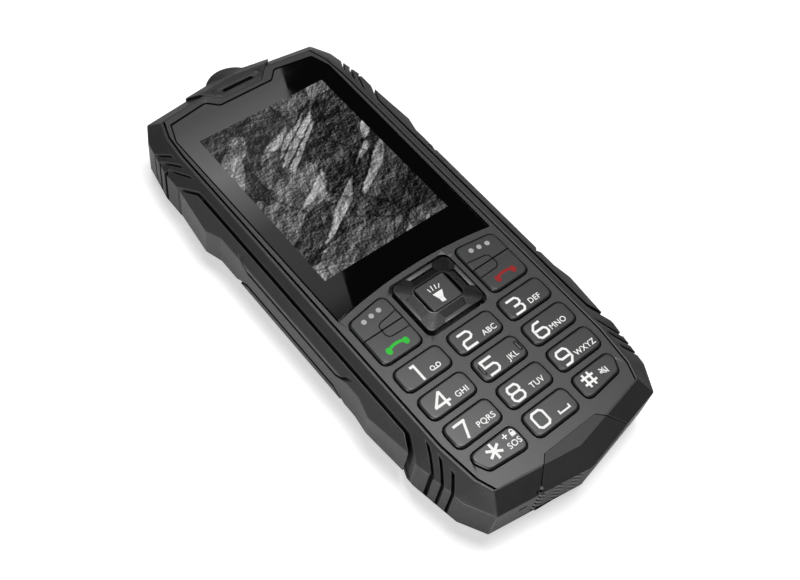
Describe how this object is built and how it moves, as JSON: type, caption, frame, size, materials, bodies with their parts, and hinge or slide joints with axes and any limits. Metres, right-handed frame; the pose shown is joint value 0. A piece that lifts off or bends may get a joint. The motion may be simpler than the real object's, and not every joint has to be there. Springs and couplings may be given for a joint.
{
  "type": "mobile phone",
  "caption": "Rugged bar phone with a small display, a four-way key over a number keypad, armoured corner bumpers, side rails, a top torch and a port flap.",
  "frame": {"origin": "on the back, midway between the sides and midway between the ends", "axes": "+X to the right of the face, +Y towards the earpiece end, +Z out of the display"},
  "size_m": [0.0618, 0.1358, 0.0177],
  "materials": {
    "armour_plastic": "fine moulded grain",
    "rail_plastic": "fine moulded grain",
    "panel_plastic": "satin",
    "key_plastic": "satin",
    "nav_plastic": "polished",
    "window_glass": "polished",
    "clear_lens": "polished",
    "soft_rubber": "soft touch",
    "silicone": "translucent",
    "board_laminate": "solder mask",
    "plated_steel": "tinned",
    "dark_screw": "blackened",
    "white_plastic": "smooth",
    "black_plastic": "smooth",
    "battery_film": "film",
    "copper_foil": "printed foil"
  },
  "bodies": {
    "phone_body": {"armour_frame": "armour_plastic", "side_rail_left": "rail_plastic", "side_rail_right": "rail_plastic", "face_panel": "panel_plastic", "top_cap": "armour_plastic", "earpiece_mesh": "plated_steel", "earpiece_speaker": "black_plastic", "torch_lens": "clear_lens", "torch_led": "white_plastic", "display_glass": "window_glass", "glass_adhesive": "black_plastic", "lcd_panel": "black_plastic", "backlight_frame": "white_plastic", "keypad_web": "silicone", "dome_sheet": "plated_steel", "main_board": "board_laminate", "shield_cans": "plated_steel", "sim_sockets": "plated_steel", "usb_socket": "plated_steel", "microphone": "plated_steel", "vibration_motor": "plated_steel", "antenna": "copper_foil", "rear_housing": "armour_plastic", "battery_contacts": "black_plastic", "battery": "battery_film", "battery_cover": "armour_plastic", "cover_gasket": "silicone", "cover_screws": "dark_screw", "frame_screws": "dark_screw", "loudspeaker": "black_plastic", "speaker_mesh": "plated_steel", "camera_module": "black_plastic", "camera_window": "window_glass", "flap_pin": "plated_steel"},
    "key_1": {"key_1": "key_plastic"},
    "key_2": {"key_2": "key_plastic"},
    "key_3": {"key_3": "key_plastic"},
    "key_4": {"key_4": "key_plastic"},
    "key_5": {"key_5": "key_plastic"},
    "key_6": {"key_6": "key_plastic"},
    "key_7": {"key_7": "key_plastic"},
    "key_8": {"key_8": "key_plastic"},
    "key_9": {"key_9": "key_plastic"},
    "key_star": {"key_star": "key_plastic"},
    "key_0": {"key_0": "key_plastic"},
    "key_hash": {"key_hash": "key_plastic"},
    "soft_key_left": {"soft_key_left": "key_plastic"},
    "soft_key_right": {"soft_key_right": "key_plastic"},
    "call_key": {"call_key": "key_plastic"},
    "end_key": {"end_key": "key_plastic"},
    "port_flap": {"port_flap": "soft_rubber"},
    "nav_pad": {"nav_pad": "silicone"},
    "nav_ring": {"nav_ring": "nav_plastic"},
    "centre_key": {"centre_key": "key_plastic"}
  },
  "joints": [
    {"name": "key_1_press", "type": "slide", "parent": "phone_body", "child": "key_1", "axis": [0, 0, -1], "range_m": [0, 0.00035], "stiffness_N_per_m": 600},
    {"name": "key_2_press", "type": "slide", "parent": "phone_body", "child": "key_2", "axis": [0, 0, -1], "range_m": [0, 0.00035], "stiffness_N_per_m": 600},
    {"name": "key_3_press", "type": "slide", "parent": "phone_body", "child": "key_3", "axis": [0, 0, -1], "range_m": [0, 0.00035], "stiffness_N_per_m": 600},
    {"name": "key_4_press", "type": "slide", "parent": "phone_body", "child": "key_4", "axis": [0, 0, -1], "range_m": [0, 0.00035], "stiffness_N_per_m": 600},
    {"name": "key_5_press", "type": "slide", "parent": "phone_body", "child": "key_5", "axis": [0, 0, -1], "range_m": [0, 0.00035], "stiffness_N_per_m": 600},
    {"name": "key_6_press", "type": "slide", "parent": "phone_body", "child": "key_6", "axis": [0, 0, -1], "range_m": [0, 0.00035], "stiffness_N_per_m": 600},
    {"name": "key_7_press", "type": "slide", "parent": "phone_body", "child": "key_7", "axis": [0, 0, -1], "range_m": [0, 0.00035], "stiffness_N_per_m": 600},
    {"name": "key_8_press", "type": "slide", "parent": "phone_body", "child": "key_8", "axis": [0, 0, -1], "range_m": [0, 0.00035], "stiffness_N_per_m": 600},
    {"name": "key_9_press", "type": "slide", "parent": "phone_body", "child": "key_9", "axis": [0, 0, -1], "range_m": [0, 0.00035], "stiffness_N_per_m": 600},
    {"name": "key_star_press", "type": "slide", "parent": "phone_body", "child": "key_star", "axis": [0, 0, -1], "range_m": [0, 0.00035], "stiffness_N_per_m": 600},
    {"name": "key_0_press", "type": "slide", "parent": "phone_body", "child": "key_0", "axis": [0, 0, -1], "range_m": [0, 0.00035], "stiffness_N_per_m": 600},
    {"name": "key_hash_press", "type": "slide", "parent": "phone_body", "child": "key_hash", "axis": [0, 0, -1], "range_m": [0, 0.00035], "stiffness_N_per_m": 600},
    {"name": "soft_key_left_press", "type": "slide", "parent": "phone_body", "child": "soft_key_left", "axis": [0, 0, -1], "range_m": [0, 0.00035], "stiffness_N_per_m": 600},
    {"name": "soft_key_right_press", "type": "slide", "parent": "phone_body", "child": "soft_key_right", "axis": [0, 0, -1], "range_m": [0, 0.00035], "stiffness_N_per_m": 600},
    {"name": "call_key_press", "type": "slide", "parent": "phone_body", "child": "call_key", "axis": [0, 0, -1], "range_m": [0, 0.00035], "stiffness_N_per_m": 600},
    {"name": "end_key_press", "type": "slide", "parent": "phone_body", "child": "end_key", "axis": [0, 0, -1], "range_m": [0, 0.00035], "stiffness_N_per_m": 600},
    {"name": "centre_key_press", "type": "slide", "parent": "phone_body", "child": "centre_key", "axis": [0, 0, -1], "range_m": [0, 0.00035], "stiffness_N_per_m": 600},
    {"name": "nav_rock_up_down", "type": "hinge", "parent": "phone_body", "child": "nav_pad", "pos_m": [0, -0.01735, 0.01175], "axis": [1, 0, 0], "range_deg": [-2, 2], "stiffness_Nm_per_rad": 0.05},
    {"name": "nav_rock_left_right", "type": "hinge", "parent": "nav_pad", "child": "nav_ring", "pos_m": [0, -0.01735, 0.01285], "axis": [0, 1, 0], "range_deg": [-2, 2], "stiffness_Nm_per_rad": 0.05},
    {"name": "port_flap_hinge", "type": "hinge", "parent": "phone_body", "child": "port_flap", "pos_m": [-0.0125, -0.06475, 0.0085], "axis": [0, 0, -1], "range_deg": [0, 90]}
  ]
}
